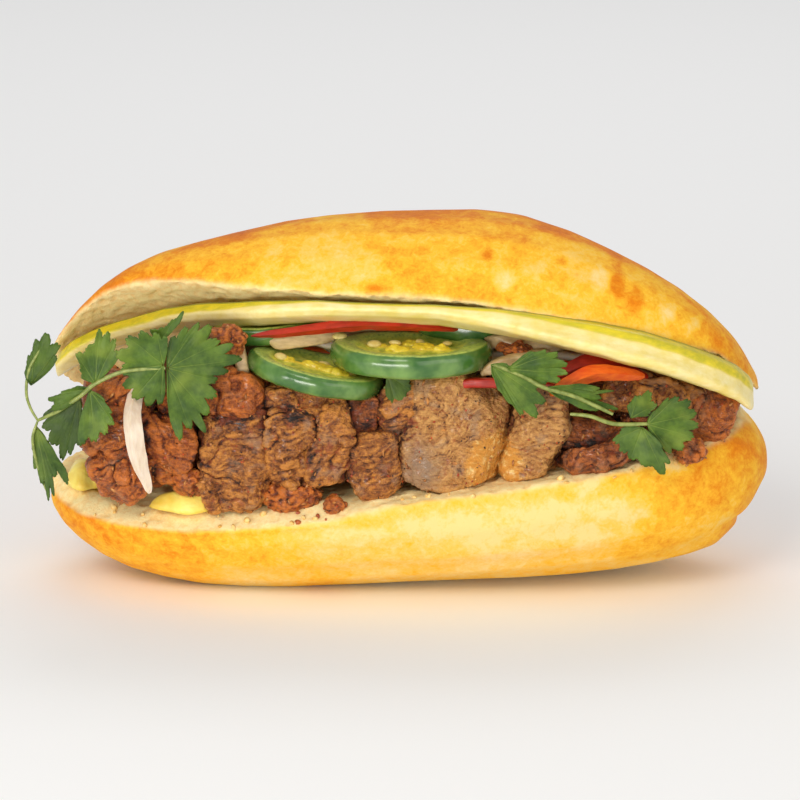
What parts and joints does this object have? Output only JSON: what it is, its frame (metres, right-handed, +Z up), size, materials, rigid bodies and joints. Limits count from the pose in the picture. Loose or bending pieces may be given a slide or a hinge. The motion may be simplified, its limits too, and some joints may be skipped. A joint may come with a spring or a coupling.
{
  "type": "banh mi sandwich",
  "caption": "Hinged bread roll opened wide over sliced grilled meat, with a cucumber spear, jalapeno slices, pickled carrot and daikon, and coriander sprigs.",
  "frame": {"origin": "on the table, on the flat underside of the roll, midway along the roll's length", "axes": "+Z up; X along the roll, with the coriander sprig that hangs over the end at -X; the open mouth faces -Y and the uncut hinge of the bread is at +Y"},
  "size_m": [0.2059, 0.0873, 0.1028],
  "materials": {
    "bread": "golden crust, matte, with a paler soft crumb on the cut faces",
    "meat": "grilled and glazed, moist, fine-fibred",
    "cucumber": "pale moist flesh with a yellow-green skin along one edge",
    "jalapeno": "shiny green skin, paler wet cut face",
    "carrot": "moist pickled julienne",
    "daikon": "moist translucent pickled julienne",
    "coriander": "soft matte leaf"
  },
  "bodies": {
    "root": {"bread_roll": "bread", "cucumber_spear": "cucumber", "meat_heap": "meat", "pickle_heap": "daikon", "jalapeno_slice_left": "jalapeno", "jalapeno_slice_right": "jalapeno", "jalapeno_slice_back_left": "jalapeno", "jalapeno_slice_back_right": "jalapeno", "carrot_strip_long": "carrot", "carrot_strip_low": "carrot", "carrot_strip_bright": "carrot", "carrot_strip_upper": "carrot", "daikon_strip_hanging": "daikon", "daikon_strip_back": "daikon", "daikon_strip_front": "daikon", "daikon_strip_under": "daikon", "daikon_strip_left": "daikon", "meat_round_slice": "meat", "meat_slanted_slice": "meat", "meat_lower_left": "meat", "meat_middle": "meat", "meat_folded_strip": "meat", "meat_rounded_chunk": "meat", "meat_upper_left": "meat", "meat_upper_middle": "meat", "meat_tall_chunk": "meat", "meat_small_chunk": "meat", "meat_saucy_chunk": "meat", "meat_left_inner": "meat", "meat_left_upper": "meat", "meat_left_top": "meat", "meat_dark_inner": "meat", "meat_dark_lower": "meat", "meat_right_upper": "meat", "meat_right_end": "meat", "meat_right_inner": "meat", "coriander_left": "coriander", "coriander_middle": "coriander", "coriander_right": "coriander"}
  },
  "joints": []
}
